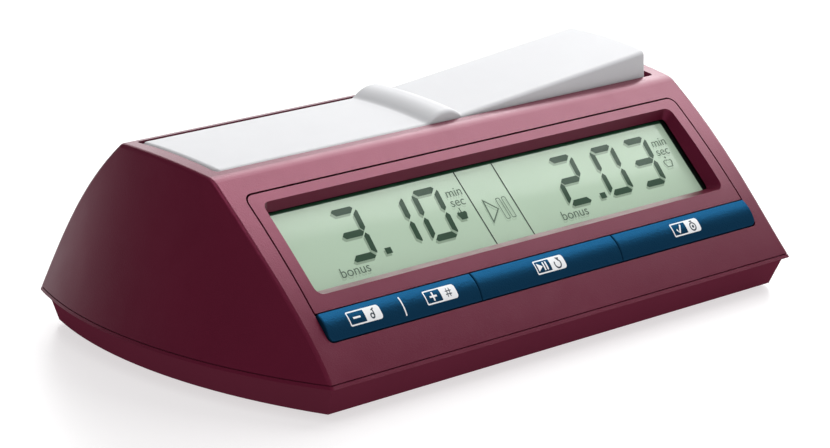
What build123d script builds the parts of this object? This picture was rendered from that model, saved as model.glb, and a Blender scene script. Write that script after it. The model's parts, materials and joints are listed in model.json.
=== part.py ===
"""Digital two-player chess clock: wedge housing, sloping display front, one long rocker lever.

Millimetres, +Z up, X along the length, the display front faces -Y, origin on the table under the middle.
"""
import os
from math import cos, hypot, radians, sin, sqrt, tan

from build123d import *

os.makedirs("parts", exist_ok=True)

# ---- housing -------------------------------------------------------------------------------------
half_length = 120.0          # at the bowed ends, on the lip
half_depth = 59.3            # on the lip
foot_height = 1.0
lip_z = 10.0                 # underside of the upper shell, which overhangs the base
rim_front = (-8.0, 58.3)     # (y, z) of the top's front edge
rim_back = (29.6, 60.5)      # (y, z) of the top's back edge
front_bow = 2.0              # how far each face bulges past its chord
back_bow = 3.9
top_bow = 1.05
wall = 2.4
# end faces: (height, x of the middle, y of the middle, plan radius)
end_sections = [(8.5, 120.5, -0.3, 128.5), (35.0, 112.0, 5.0, 114.0), (64.0, 104.0, 11.5, 121.0)]
edge_round = 1.5
rim_round = (6.0, 2.0)            # front and back edges of the top
groove_z = (10.85, 11.15)         # parting line above the lip
groove_depth = 0.4

# ---- base ----------------------------------------------------------------------------------------
base_low = (101.6, 54.6, 11.8)    # corner x, corner y and end bow at the bottom
base_high = (103.9, 57.6, 13.8)   # the same under the lip
base_wall = 2.2

# ---- front: s runs up the sloping face from the lip, depth runs inwards from its chord ---------------
bezel_s = (22.6, 62.7)
bezel_half = (97.5, 96.8)         # at the bottom and at the top
bezel_gap = 0.6
bezel_corner = 2.8
window_s = (28.2, 59.5)
window_half = 92.4
glass_s = (30.5, 57.5)            # opening at the foot of the sloping window walls
glass_half = 90.9
window_depth = 2.0
pane_thick = 1.0
cell_thick = 2.0
board_depth = 7.0
board_thick = 1.6
strip_s = (12.9, 22.5)
strip_half = 98.0
cap_splits = (-33.5, 31.3)
cap_gap = 0.25                   # between one cap and the next
strip_gap = 0.4                  # round the row of caps
cap_bulge = 1.2
cap_rise = (0.1, 0.5)            # how far its lower and upper edges stand over the face
cap_floor = 1.5
cap_travel = 0.8
minus_plus_x = -64.9
pin_depth = 0.9
pin_radius = 0.75
key_x = (-80.3, -48.3, 0.0, 65.9)
post_places = [(-94.0, 25.2), (94.0, 25.2), (-94.0, 60.0), (94.0, 60.0)]

# ---- rocker lever ----------------------------------------------------------------------------------
well_half = 99.0
well_y = (-4.6, 27.8)
well_floor_z = 45.5
well_wall = 1.8
lever_y = (-4.1, 27.3)
lever_half = 98.4                # to its left end, down in the well
lever_end_draft = 0.4            # how much shorter the lever is 11 mm above its skirt
lever_end_bow = 0.5
lever_corner = 1.4
lever_swing = 5.0                 # the level half rises by this angle
lever_skirt_z = 47.9
lever_wall = 2.0
pivot_z = 30.0                   # the lever stands on two legs and turns low in the housing
pivot_ears_y = (1.0, 18.0)       # near edges of the housing's two ears
ear_thick = 3.0
leg_half = 4.0
leg_slot = leg_half + 3.2
pivot_radius = 1.5
ridge_half = 7.7
ridge_rise = 3.0
magnet_x = 62.0

# ---- underside ---------------------------------------------------------------------------------------
cell_radius = 7.15
cell_length = 49.3
battery_half = (30.0, 16.6)       # half sizes of the battery compartment
battery_y = 18.0
battery_top = 19.6
cover_thick = 1.8
screw_places = [(-101.5, -36.0), (101.5, -36.0), (-84.0, 38.0), (84.0, 38.0)]
foot_places = [(-94.5, -44.0), (94.5, -44.0), (-94.5, 44.0), (94.5, 44.0)]
foot_radius = 6.0
switch_place = (-62.0, 20.0)
switch_travel = 3.0


def arc_circle(first, last, bow):
    """Centre and radius of the arc that joins two points and bulges to the left of first->last."""
    dy = last[0] - first[0]
    dz = last[1] - first[1]
    chord = hypot(dy, dz)
    radius = (chord * chord / 4 + bow * bow) / (2 * bow)
    reach = radius - bow
    centre = ((first[0] + last[0]) / 2 + dz / chord * reach, (first[1] + last[1]) / 2 - dy / chord * reach)
    return centre, radius


front_foot = (-half_depth, lip_z)
back_foot = (half_depth, lip_z)
front_centre, front_radius = arc_circle(front_foot, rim_front, front_bow)
top_centre, top_radius = arc_circle(rim_front, rim_back, top_bow)
back_centre, back_radius = arc_circle(rim_back, back_foot, back_bow)

front_chord = hypot(rim_front[0] - front_foot[0], rim_front[1] - front_foot[1])
slope_y = (rim_front[0] - front_foot[0]) / front_chord
slope_z = (rim_front[1] - front_foot[1]) / front_chord
front_normal = Vector(0, -slope_z, slope_y)
front_plane = Plane(origin=(0, *front_foot), x_dir=(1, 0, 0), z_dir=front_normal)


def top_height(y):
    """Height of the crowned top at y."""
    return top_centre[1] + sqrt(top_radius**2 - (y - top_centre[0])**2)


def profile_prism(inset, low, length=260.0, faces=("front", "top", "back")):
    """The housing's side profile, moved inwards by inset, drawn out along X."""
    circles = {"front": (front_centre, front_radius), "top": (top_centre, top_radius),
               "back": (back_centre, back_radius)}
    with BuildPart() as prism:
        with BuildSketch(Plane.YZ) as outline:
            with Locations((0, low + 50)):
                Rectangle(200, 100)
            for name in faces:
                centre, radius = circles[name]
                with Locations(centre):
                    Circle(radius - inset, mode=Mode.INTERSECT)
            if "top" in faces:
                for place, round_radius in zip((rim_front, rim_back), rim_round):
                    rim = outline.vertices().sort_by_distance((*place, 0))[0]
                    fillet(rim, max(round_radius - inset, 0.3))
        extrude(amount=length / 2, both=True)
    return prism.part


def end_prism(inset):
    """A tall block whose two ends are the housing's bowed end faces, moved inwards by inset."""
    with BuildPart() as block:
        for height, middle_x, middle_y, radius in end_sections:
            reach = 80.0
            tips = [middle_x - inset - radius + sqrt(radius**2 - (y - middle_y)**2) for y in (-reach, reach)]
            with BuildSketch(Plane.XY.offset(height)):
                with BuildLine():
                    ThreePointArc((tips[0], -reach), (middle_x - inset, middle_y), (tips[1], reach))
                    Line((tips[1], reach), (-tips[1], reach))
                    ThreePointArc((-tips[1], reach), (-middle_x + inset, middle_y), (-tips[0], -reach))
                    Line((-tips[0], -reach), (tips[0], -reach))
                make_face()
        loft()
    return block.part


def body_form(inset, low):
    """The whole outer form of the upper shell, moved inwards by inset, from the height low upwards."""
    return profile_prism(inset, low) & end_prism(inset)


def front_block(half, s_range, depth_range, corner=0.0, half_top=None):
    """A block standing on the sloping front: half width, s range and depth range (inwards is positive)."""
    top = half if half_top is None else half_top
    with BuildPart() as block:
        with BuildSketch(front_plane.offset(-depth_range[1])) as outline:
            Polygon((-half, s_range[0]), (half, s_range[0]), (top, s_range[1]), (-top, s_range[1]), align=None)
            if corner:
                fillet(outline.vertices(), corner)
        extrude(amount=depth_range[1] - depth_range[0])
    return block.part


def front_cylinder(x, s, radius, depth_range):
    """A cylinder at right angles to the sloping front."""
    with BuildPart() as rod:
        with BuildSketch(front_plane.offset(-depth_range[1])):
            with Locations((x, s)):
                Circle(radius)
        extrude(amount=depth_range[1] - depth_range[0])
    return rod.part


def upright(x, y, radius, low, high):
    """A vertical cylinder."""
    with BuildPart() as rod:
        with BuildSketch(Plane.XY.offset(low)):
            with Locations((x, y)):
                Circle(radius)
        extrude(amount=high - low)
    return rod.part


def block(x_range, y_range, z_range, corner=0.0):
    """An upright box given by its limits, with rounded vertical edges."""
    with BuildPart() as box:
        with BuildSketch(Plane.XY.offset(z_range[0])) as outline:
            with Locations(((x_range[0] + x_range[1]) / 2, (y_range[0] + y_range[1]) / 2)):
                Rectangle(x_range[1] - x_range[0], y_range[1] - y_range[0])
            if corner:
                fillet(outline.vertices(), corner)
        extrude(amount=z_range[1] - z_range[0])
    return box.part


def rod_along_y(x, z, radius, y_range):
    """A cylinder along Y."""
    with BuildPart() as rod:
        with BuildSketch(Plane.XZ.offset(-y_range[0])):
            with Locations((x, z)):
                Circle(radius)
        extrude(amount=-(y_range[1] - y_range[0]))
    return rod.part


def save(piece, name):
    """Label a finished piece and write its file."""
    piece.part.label = name
    export_step(piece.part, f"parts/{name}.step")


# side view of the sloping front: local x is s, local y is the height over the chord
side_plane = Plane(origin=(0, *front_foot), x_dir=(0, slope_y, slope_z), z_dir=(1, 0, 0))


def face_height(s):
    """Height of the bowed front face over its chord at s."""
    return sqrt(front_radius**2 - (s - front_chord / 2)**2) - (front_radius - front_bow)


def base_loft(inset, low, high):
    """The base's tapering form between two heights, moved inwards by inset."""
    with BuildPart() as form:
        for height in (low, high):
            share = (height - foot_height) / (lip_z - foot_height)
            corner_x, corner_y, bow = [a + (b - a) * share for a, b in zip(base_low, base_high)]
            corner_x -= inset
            corner_y -= inset
            with BuildSketch(Plane.XY.offset(height)):
                with BuildLine():
                    ThreePointArc((corner_x, -corner_y), (corner_x + bow, 0), (corner_x, corner_y))
                    Line((corner_x, corner_y), (-corner_x, corner_y))
                    ThreePointArc((-corner_x, corner_y), (-corner_x - bow, 0), (-corner_x, -corner_y))
                    Line((-corner_x, -corner_y), (corner_x, -corner_y))
                make_face()
        loft()
    return form.part


# ---- outer form ----------------------------------------------------------------------------------
outer_form = body_form(0.0, lip_z)
end_edges = outer_form.edges().filter_by(lambda edge: edge.center().Z > lip_z + 1 and abs(edge.center().X) > 90)
rounded_form = outer_form.fillet(edge_round, end_edges)

# ---- upper shell -----------------------------------------------------------------------------------
with BuildPart() as upper_shell:
    add(rounded_form)
    add(body_form(wall, lip_z - 1), mode=Mode.SUBTRACT)
    add(block((-140, 140), (-80, 80), groove_z) - body_form(groove_depth, lip_z), mode=Mode.SUBTRACT)
    # frame behind the bezel, and the tray that the lever works in
    frame = front_block(100.5, (10.5, 66.0), (-3.0, 4.0)) - front_block(93.0, (27.8, 60.8), (-5, 6))
    add(frame & outer_form)
    tray = block((-well_half - well_wall, well_half + well_wall), (well_y[0] - well_wall, well_y[1] + well_wall),
                 (well_floor_z - 2.0, 70.0))
    add(tray & body_form(0.5, lip_z))
    add(block((-well_half, well_half), well_y, (well_floor_z, 75.0), 1.5), mode=Mode.SUBTRACT)
    # seats for the bezel and the button strip
    add(front_block(bezel_half[0] + bezel_gap, (bezel_s[0] - 0.3, bezel_s[1] + bezel_gap), (-6, window_depth),
                    bezel_corner + bezel_gap, bezel_half[1] + bezel_gap), mode=Mode.SUBTRACT)
    add(front_block(bezel_half[0] + bezel_gap, (bezel_s[0] - 0.3, bezel_s[0] + 4), (-6, window_depth)),
        mode=Mode.SUBTRACT)
    add(front_block(strip_half, (strip_s[0], strip_s[1] + 2.0), (-6, 12), 1.9), mode=Mode.SUBTRACT)
    for post_x, post_s in post_places:
        add(front_cylinder(post_x, post_s, 1.9, (0, 12)), mode=Mode.SUBTRACT)
    # screw bosses
    for place_x, place_y in screw_places:
        boss = upright(place_x, place_y, 3.5, lip_z, 60.0) & body_form(wall / 2, lip_z)
        add(boss - block((-well_half, well_half), (well_y[0] - 1, well_y[1] + 1), (well_floor_z - 1, 70)))
        add(upright(place_x, place_y, 1.25, lip_z - 1, lip_z + 9), mode=Mode.SUBTRACT)
    # slot for the lever's legs, and the ears that hold its pin
    add(block((-leg_slot, leg_slot), (pivot_ears_y[0] + ear_thick, pivot_ears_y[1]), (40, 50)), mode=Mode.SUBTRACT)
    for ear_y in pivot_ears_y:
        add(block((-5.5, 5.5), (ear_y, ear_y + ear_thick), (pivot_z - 4.5, well_floor_z - 1)))
    add(rod_along_y(0, pivot_z, pivot_radius + 0.02, (pivot_ears_y[0] + 0.8, pivot_ears_y[1] + ear_thick - 0.8)),
        mode=Mode.SUBTRACT)
    # lower seat of the rocking cap's pin
    with BuildSketch(Plane(origin=front_plane.from_local_coords((minus_plus_x, strip_s[0] - 1.4, -pin_depth)),
                           x_dir=(1, 0, 0), z_dir=front_plane.y_dir)):
        Circle(pin_radius + 0.02)
    extrude(amount=2.0, mode=Mode.SUBTRACT)
save(upper_shell, "upper_shell")

# ---- base shell ------------------------------------------------------------------------------------
floor_z = foot_height + base_wall
box_x, box_y = battery_half
box_span = (battery_y - box_y, battery_y + box_y)
cover_x = (-box_x - 1.4, box_x + 1.4)
cover_y = (battery_y - box_y - 1.4, battery_y + box_y + 1.4)
cover_top = foot_height + cover_thick
switch_x, switch_y = switch_place
knob_half = (1.7, 2.5)

with BuildPart() as base_shell:
    add(base_loft(0.0, foot_height, lip_z))
    add(base_loft(base_wall, floor_z, lip_z + 1), mode=Mode.SUBTRACT)
    add(block((-box_x - 1.6, box_x + 1.6), (box_span[0] - 1.6, box_span[1] + 1.6), (foot_height, battery_top + 1.6)))
    add(block((-box_x, box_x), box_span, (foot_height, battery_top)), mode=Mode.SUBTRACT)
    add(block(cover_x, cover_y, (0, cover_top + 0.1)), mode=Mode.SUBTRACT)
    for place_x, place_y in screw_places:
        add(upright(place_x, place_y, 4.4, foot_height, lip_z) & base_loft(0.0, foot_height, lip_z))
        add(upright(place_x, place_y, 3.0, 0, 4.0), mode=Mode.SUBTRACT)
        add(upright(place_x, place_y, 1.6, 0, lip_z + 1), mode=Mode.SUBTRACT)
    for place_x, place_y in foot_places:
        add(upright(place_x, place_y, foot_radius + 0.1, 0, foot_height + 0.5), mode=Mode.SUBTRACT)
    knob_reach = knob_half[0] + switch_travel / 2 + 0.3
    add(block((switch_x - knob_reach, switch_x + knob_reach), (switch_y - 2.8, switch_y + 2.8), (0, floor_z + 1)),
        mode=Mode.SUBTRACT)
save(base_shell, "base_shell")

# ---- display bezel ---------------------------------------------------------------------------------
with BuildPart() as display_bezel:
    add(front_block(bezel_half[0], bezel_s, (-6, window_depth), bezel_corner, bezel_half[1]))
    add(profile_prism(0.0, lip_z, faces=("front",)), mode=Mode.INTERSECT)
    # square lower corners: the strip of caps closes the bezel off
    add(front_block(bezel_half[0], (bezel_s[0], bezel_s[0] + 4), (-6, window_depth)) &
        profile_prism(0.0, lip_z, faces=("front",)))
    spread = (3.0 + window_depth) / (face_height(window_s[1]) + window_depth)
    mouth_half = glass_half + (window_half - glass_half) * spread
    mouth_s = [foot + (edge - foot) * spread for foot, edge in zip(glass_s, window_s)]
    with BuildSketch(front_plane.offset(-window_depth)) as opening:
        with Locations((0, (glass_s[0] + glass_s[1]) / 2)):
            RectangleRounded(2 * glass_half, glass_s[1] - glass_s[0], 1.5)
    with BuildSketch(front_plane.offset(3.0)) as mouth:
        with Locations((0, (mouth_s[0] + mouth_s[1]) / 2)):
            RectangleRounded(2 * mouth_half, mouth_s[1] - mouth_s[0], 3.3)
    loft(sections=[opening.sketch, mouth.sketch], mode=Mode.SUBTRACT)
    for post_x, post_s in post_places:
        add(front_cylinder(post_x, post_s, 1.6, (window_depth - 0.5, board_depth)))
        add(front_cylinder(post_x, post_s, 0.72, (window_depth + 1.5, board_depth + 1)), mode=Mode.SUBTRACT)
    with BuildSketch(Plane(origin=front_plane.from_local_coords((minus_plus_x, bezel_s[0] + 1.5, -pin_depth)),
                           x_dir=(1, 0, 0), z_dir=-front_plane.y_dir)):
        Circle(pin_radius + 0.02)
    extrude(amount=3.0, mode=Mode.SUBTRACT)
save(display_bezel, "display_bezel")

# ---- display stack ---------------------------------------------------------------------------------
cell_half = glass_half + 1.2
cell_s = (glass_s[0] - 1.6, glass_s[1] + 1.3)
cell_front = window_depth + pane_thick + 0.05
cell_back = cell_front + cell_thick
connector_s = [(cell_s[0] + 0.6, cell_s[0] + 2.6), (cell_s[1] - 2.6, cell_s[1] - 0.6)]

with BuildPart() as display_window:
    add(front_block(cell_half, cell_s, (window_depth, window_depth + pane_thick), 1.0))
save(display_window, "display_window")

with BuildPart() as display_cell:
    add(front_block(cell_half, cell_s, (cell_front, cell_back), 0.5))
save(display_cell, "display_cell")

with BuildPart() as display_backing:
    add(front_block(cell_half, (connector_s[0][1] + 0.3, connector_s[1][0] - 0.3), (cell_back, board_depth)))
save(display_backing, "display_backing")

with BuildPart() as display_connectors:
    for span in connector_s:
        add(front_block(80.0, span, (cell_back, board_depth)))
save(display_connectors, "display_connectors")

# ---- main board ------------------------------------------------------------------------------------
board_back = board_depth + board_thick
key_s = (strip_s[0] + strip_s[1]) / 2
with BuildPart() as main_board:
    add(front_block(96.2, (12.5, 62.0), (board_depth, board_back), 1.0))
    for post_x, post_s in post_places:
        add(front_cylinder(post_x, post_s, 0.75, (board_depth - 1, board_back + 1)), mode=Mode.SUBTRACT)
save(main_board, "main_board")

with BuildPart() as board_screws:
    for post_x, post_s in post_places:
        add(front_cylinder(post_x, post_s, 0.7, (board_depth - 3.0, board_back + 0.1)))
        add(front_cylinder(post_x, post_s, 1.5, (board_back, board_back + 1.1)))
save(board_screws, "board_screws")


def on_board_back(x, s, size_x, size_s, height):
    """A box that stands on the back of the main board."""
    whole = front_block(size_x / 2, (s - size_s / 2, s + size_s / 2), (board_back, board_back + height))
    return Pos(x, 0, 0) * whole


with BuildPart() as clock_controller:
    add(on_board_back(-20, 42, 14, 14, 1.6))
save(clock_controller, "clock_controller")

with BuildPart() as timing_crystal:
    add(on_board_back(-4, 42, 3.2, 8, 3.0))
save(timing_crystal, "timing_crystal")

with BuildPart() as board_capacitors:
    for place_x in (8, 15, 22):
        add(front_cylinder(place_x, 42, 2.5, (board_back, board_back + 5.0)))
save(board_capacitors, "board_capacitors")

with BuildPart() as sound_buzzer:
    add(front_cylinder(52, 38, 7.0, (board_back, board_back + 4.5)))
    add(front_cylinder(52, 38, 1.2, (board_back + 3.0, board_back + 6)), mode=Mode.SUBTRACT)
save(sound_buzzer, "sound_buzzer")

# ---- push buttons ----------------------------------------------------------------------------------
switch_top = 3.3
stem_end = switch_top - cap_travel - 0.1
with BuildPart() as key_switches:
    for place_x in key_x:
        add(Pos(place_x, 0, 0) * front_block(3.0, (key_s - 3, key_s + 3), (switch_top + 0.5, board_depth)))
        add(front_cylinder(place_x, key_s, 1.7, (switch_top, switch_top + 0.6)))
save(key_switches, "key_switches")


def cap_solid(x_range, keys, rounded):
    """One blue cap: convex outside, flat inside, with a stem over each of its switches."""
    low_s = strip_s[0] + strip_gap
    high_s = bezel_s[0] - strip_gap
    with BuildPart() as cap:
        with BuildSketch(side_plane.offset(x_range[0])):
            with BuildLine():
                low_edge = (low_s, face_height(low_s) + cap_rise[0])
                high_edge = (high_s, face_height(high_s) + cap_rise[1])
                Line(low_edge, (low_s, -cap_floor))
                Line((low_s, -cap_floor), (high_s, -cap_floor))
                Line((high_s, -cap_floor), high_edge)
                ThreePointArc(high_edge, (key_s, face_height(key_s) + cap_bulge), low_edge)
            make_face()
        extrude(amount=x_range[1] - x_range[0])
        if rounded:
            upright_edges = cap.edges().filter_by(Axis(front_plane.origin, front_plane.z_dir))
            corner = upright_edges.sort_by(lambda edge: edge.center().X * rounded).last
            fillet([edge for edge in upright_edges if abs(edge.center().X - corner.center().X) < 0.1], 1.7)
        for place_x in keys:
            add(front_cylinder(place_x, key_s, 1.6, (cap_floor - 0.5, stem_end)))
    return cap.part


with BuildPart() as minus_plus_button:
    add(cap_solid((-strip_half + strip_gap, cap_splits[0] - cap_gap / 2), key_x[:2], -1))
    add(Pos(minus_plus_x, 0, 0) * front_block(1.8, (strip_s[0] + 1.0, bezel_s[0] - 1.0), (0.5, 2.4)))
    with BuildSketch(Plane(origin=front_plane.from_local_coords((minus_plus_x, strip_s[0] - 1, -pin_depth)),
                           x_dir=(1, 0, 0), z_dir=front_plane.y_dir)):
        Circle(pin_radius + 0.06)
    extrude(amount=13.0, mode=Mode.SUBTRACT)
save(minus_plus_button, "minus_plus_button")

with BuildPart() as play_pause_button:
    add(cap_solid((cap_splits[0] + cap_gap / 2, cap_splits[1] - cap_gap / 2), key_x[2:3], 0))
save(play_pause_button, "play_pause_button")

with BuildPart() as confirm_button:
    add(cap_solid((cap_splits[1] + cap_gap / 2, strip_half - strip_gap), key_x[3:], 1))
save(confirm_button, "confirm_button")

with BuildPart() as button_pivot_pin:
    with BuildSketch(Plane(origin=front_plane.from_local_coords((minus_plus_x, strip_s[0] - 1.3, -pin_depth)),
                           x_dir=(1, 0, 0), z_dir=front_plane.y_dir)):
        Circle(pin_radius)
    extrude(amount=bezel_s[0] - strip_s[0] + 2.7)
save(button_pivot_pin, "button_pivot_pin")

# ---- rocker lever ----------------------------------------------------------------------------------
half_swing = radians(lever_swing / 2)
bisector = Plane(origin=(0, 0, pivot_z), x_dir=(0, 1, 0), z_dir=(cos(half_swing), 0, sin(half_swing)))
vertex_x = -(top_height(lever_y[0]) - pivot_z) * tan(half_swing)
lever_mid_y = (lever_y[0] + lever_y[1]) / 2


def lever_section(inset, low, x_range):
    """A run of the lever's cross-section: crowned top, straight sides, flat below."""
    y_near = lever_y[0] + inset
    y_far = lever_y[1] - inset
    with BuildPart() as run:
        with BuildSketch(Plane.YZ.offset(x_range[0])):
            with Locations((lever_mid_y, low + 15)):
                Rectangle(y_far - y_near, 30)
            with Locations(top_centre):
                Circle(top_radius - inset, mode=Mode.INTERSECT)
        extrude(amount=x_range[1] - x_range[0])
    return run.part


def lever_end(inset):
    """Block with the lever's bowed, slightly tapered left end."""
    with BuildPart() as form:
        for rise in (-1.0, 21.0):
            tip = -lever_half + lever_end_draft * rise / 11 + inset
            corner = tip + lever_end_bow
            with BuildSketch(Plane.XY.offset(lever_skirt_z + rise)):
                with BuildLine():
                    ThreePointArc((corner, -6), (tip, lever_mid_y), (corner, 28))
                    Line((corner, 28), (20, 28))
                    Line((20, 28), (20, -6))
                    Line((20, -6), (corner, -6))
                make_face()
        loft()
    return form.part


left_half = lever_section(0.0, lever_skirt_z, (-lever_half - 1, 2.0)) & lever_end(0.0)
tip_edges = left_half.edges().filter_by(lambda edge: edge.center().X < -90 and abs(edge.tangent_at(0.5).Z) > 0.9)
left_half = left_half.fillet(lever_corner, tip_edges)
left_hollow = lever_section(lever_wall, lever_skirt_z - 1, (-lever_half - 1, -9.0)) & lever_end(2.4)
left_boss = upright(-magnet_x, lever_mid_y, 5.6, lever_skirt_z, top_height(lever_mid_y) - 0.5)
left_half = left_half - left_hollow + left_boss
left_half = left_half - upright(-magnet_x, lever_mid_y, 4.02, lever_skirt_z - 1, lever_skirt_z + 3)

with BuildPart() as ridge:
    with BuildSketch(Plane.XZ.offset(-top_centre[0])):
        with BuildLine():
            base_height = top_centre[1] + top_radius - 1.5
            crest_height = top_centre[1] + top_radius + ridge_rise
            Line((vertex_x - ridge_half - 1.2, base_height), (vertex_x + ridge_half + 1.2, base_height))
            ThreePointArc((vertex_x + ridge_half + 1.2, base_height), (vertex_x, crest_height),
                          (vertex_x - ridge_half - 1.2, base_height))
        make_face()
    revolve(axis=Axis((0, *top_centre), (1, 0, 0)), revolution_arc=30)
ridge_slab = block((-20, 20), lever_y, (40, 80))
ridge_a = ridge.part.rotate(Axis((0, *top_centre), (1, 0, 0)), -20)

with BuildPart() as rocker_lever:
    add(left_half)
    add(left_half.mirror(bisector))
    add(ridge_a & ridge_slab)
    hub_y = (lever_y[0] + lever_wall, lever_y[1] - lever_wall)
    add(block((-9.0, 9.0), hub_y, (40, 55.5)), mode=Mode.SUBTRACT)
    for leg_y in (pivot_ears_y[0] + ear_thick + 0.3, pivot_ears_y[1] - ear_thick - 0.3):
        leg = block((-leg_half, leg_half), (leg_y, leg_y + ear_thick), (pivot_z, 57.0))
        add(leg.rotate(Axis((0, 0, pivot_z), (0, 1, 0)), -lever_swing / 2))
        add(rod_along_y(0, pivot_z, leg_half, (leg_y, leg_y + ear_thick)))
    add(rod_along_y(0, pivot_z, pivot_radius + 0.08, (-10, 32)), mode=Mode.SUBTRACT)
save(rocker_lever, "rocker_lever")

with BuildPart() as rocker_pivot_pin:
    add(rod_along_y(0, pivot_z, pivot_radius, (pivot_ears_y[0] + 1.0, pivot_ears_y[1] + ear_thick - 1.0)))
save(rocker_pivot_pin, "rocker_pivot_pin")

left_magnet = upright(-magnet_x, lever_mid_y, 4.0, lever_skirt_z, lever_skirt_z + 2.9)
with BuildPart() as lever_magnets:
    add(left_magnet)
    add(left_magnet.mirror(bisector))
save(lever_magnets, "lever_magnets")

with BuildPart() as magnet_plates:
    for side in (-1, 1):
        add(upright(side * magnet_x, lever_mid_y, 5.0, well_floor_z, well_floor_z + 2.0))
save(magnet_plates, "magnet_plates")

with BuildPart() as lever_stop_pads:
    for side in (-1, 1):
        ends = sorted((side * 93.6, side * 98.2))
        add(block(ends, (lever_mid_y - 9, lever_mid_y + 9), (well_floor_z, lever_skirt_z - 0.1), 1.0))
save(lever_stop_pads, "lever_stop_pads")

with BuildPart() as lever_sensors:
    for side in (-1, 1):
        add(block((side * magnet_x - 7, side * magnet_x + 7), (lever_mid_y - 2, lever_mid_y + 2),
                  (well_floor_z - 4.6, well_floor_z - 2.0)))
save(lever_sensors, "lever_sensors")

# ---- underside -------------------------------------------------------------------------------------
cell_z = cover_top + 0.7 + cell_radius
cell_rows = ((battery_y - 7.8, 1), (battery_y + 7.8, -1))
plate_thick = 0.5


def along_x(y, z, radius, x_range):
    """A cylinder along X."""
    ends = sorted(x_range)
    with BuildPart() as rod:
        with BuildSketch(Plane.YZ.offset(ends[0])):
            with Locations((y, z)):
                Circle(radius)
        extrude(amount=ends[1] - ends[0])
    return rod.part


nub_tip = box_x - plate_thick - 0.05
with BuildPart() as battery_cells:
    for row_y, way in cell_rows:
        add(along_x(row_y, cell_z, cell_radius, (way * (nub_tip - 1.0), way * (nub_tip - 1.0 - cell_length))))
        add(along_x(row_y, cell_z, 2.7, (way * (nub_tip - 1.2), way * nub_tip)))
save(battery_cells, "battery_cells")

with BuildPart() as battery_contacts:
    for row_y, way in cell_rows:
        for side in (-1, 1):
            ends = sorted((side * box_x, side * (box_x - plate_thick)))
            add(block(ends, (row_y - 5, row_y + 5), (cover_top + 1.5, battery_top - 1.5)))
save(battery_contacts, "battery_contacts")

spring_gap = 2 * box_x - 2 * plate_thick - 0.05 - 1.0 - cell_length
wire = 0.4
with BuildPart() as battery_springs:
    for row_y, way in cell_rows:
        start_x = -way * (box_x - plate_thick - wire - 0.05)
        with BuildLine() as coil:
            Helix(pitch=(spring_gap - 2 * wire - 0.2) / 3.5, height=spring_gap - 2 * wire - 0.2, radius=3.4,
                  center=(start_x, row_y, cell_z), direction=(way, 0, 0))
        with BuildSketch(Plane(origin=coil.line @ 0, z_dir=coil.line % 0)):
            Circle(wire)
        sweep(path=coil.line, is_frenet=True)
save(battery_springs, "battery_springs")

with BuildPart() as battery_cover:
    add(block((cover_x[0] + 0.3, cover_x[1] - 0.3), (cover_y[0] + 0.3, cover_y[1] - 0.3), (foot_height, cover_top)))
    hinge_edges = battery_cover.edges().filter_by(Axis.X).group_by(Axis.Y)[0]
    fillet(hinge_edges, cover_thick / 2 - 0.01)
    # finger notch in the outer face
    add(block((-7, 7), (cover_y[1] - 6, cover_y[1] - 4), (0, foot_height + 0.8), 0.9), mode=Mode.SUBTRACT)
save(battery_cover, "battery_cover")

with BuildPart() as rubber_feet:
    for place_x, place_y in foot_places:
        add(upright(place_x, place_y, foot_radius, 0, foot_height + 0.5))
save(rubber_feet, "rubber_feet")

with BuildPart() as case_screws:
    for place_x, place_y in screw_places:
        head = upright(place_x, place_y, 2.7, 2.2, 4.0)
        cross = block((place_x - 1.5, place_x + 1.5), (place_y - 0.35, place_y + 0.35), (2, 3.2))
        add(head - cross - cross.rotate(Axis((place_x, place_y, 0), (0, 0, 1)), 90))
        add(upright(place_x, place_y, 1.2, 3.9, lip_z + 8))
save(case_screws, "case_screws")

with BuildPart() as power_switch_body:
    add(block((switch_x - 9, switch_x + 9), (switch_y - 5, switch_y + 5), (floor_z, floor_z + 4.4), 0.6))
    add(block((switch_x - 7.6, switch_x + 7.6), (switch_y - 4.2, switch_y + 4.2), (floor_z - 1, floor_z + 1.5)),
        mode=Mode.SUBTRACT)
save(power_switch_body, "power_switch_body")

with BuildPart() as power_switch_slider:
    knob_x = switch_x - switch_travel / 2
    add(block((knob_x - 5.5, knob_x + 5.5), (switch_y - 3.9, switch_y + 3.9), (floor_z + 0.1, floor_z + 1.3), 0.4))
    add(block((knob_x - knob_half[0], knob_x + knob_half[0]), (switch_y - knob_half[1], switch_y + knob_half[1]),
              (foot_height + 0.3, floor_z + 0.2)))
save(power_switch_slider, "power_switch_slider")
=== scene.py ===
"""Chess clock: looks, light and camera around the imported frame. Metres, same axes as the frame."""

import json
from math import cos, hypot, pi, radians, sin, sqrt, tan

import bmesh
import bpy
from mathutils import Matrix, Vector


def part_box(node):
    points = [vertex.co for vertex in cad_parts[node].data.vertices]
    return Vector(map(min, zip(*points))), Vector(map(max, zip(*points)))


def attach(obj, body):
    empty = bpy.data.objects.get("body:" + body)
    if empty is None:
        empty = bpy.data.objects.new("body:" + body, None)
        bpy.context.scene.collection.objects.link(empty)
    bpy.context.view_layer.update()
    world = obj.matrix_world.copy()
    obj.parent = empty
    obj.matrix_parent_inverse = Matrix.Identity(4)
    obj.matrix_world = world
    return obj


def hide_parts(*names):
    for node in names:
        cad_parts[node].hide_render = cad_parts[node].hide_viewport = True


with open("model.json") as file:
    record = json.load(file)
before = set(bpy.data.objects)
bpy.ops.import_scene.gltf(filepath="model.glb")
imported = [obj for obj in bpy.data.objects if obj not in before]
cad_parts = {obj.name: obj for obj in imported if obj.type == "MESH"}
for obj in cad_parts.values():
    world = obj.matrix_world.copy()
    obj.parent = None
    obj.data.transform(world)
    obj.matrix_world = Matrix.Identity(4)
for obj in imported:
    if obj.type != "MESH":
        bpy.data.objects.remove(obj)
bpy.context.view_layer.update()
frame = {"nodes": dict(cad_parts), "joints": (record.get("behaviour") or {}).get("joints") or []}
nodes = frame["nodes"]
MM = 0.001

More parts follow.
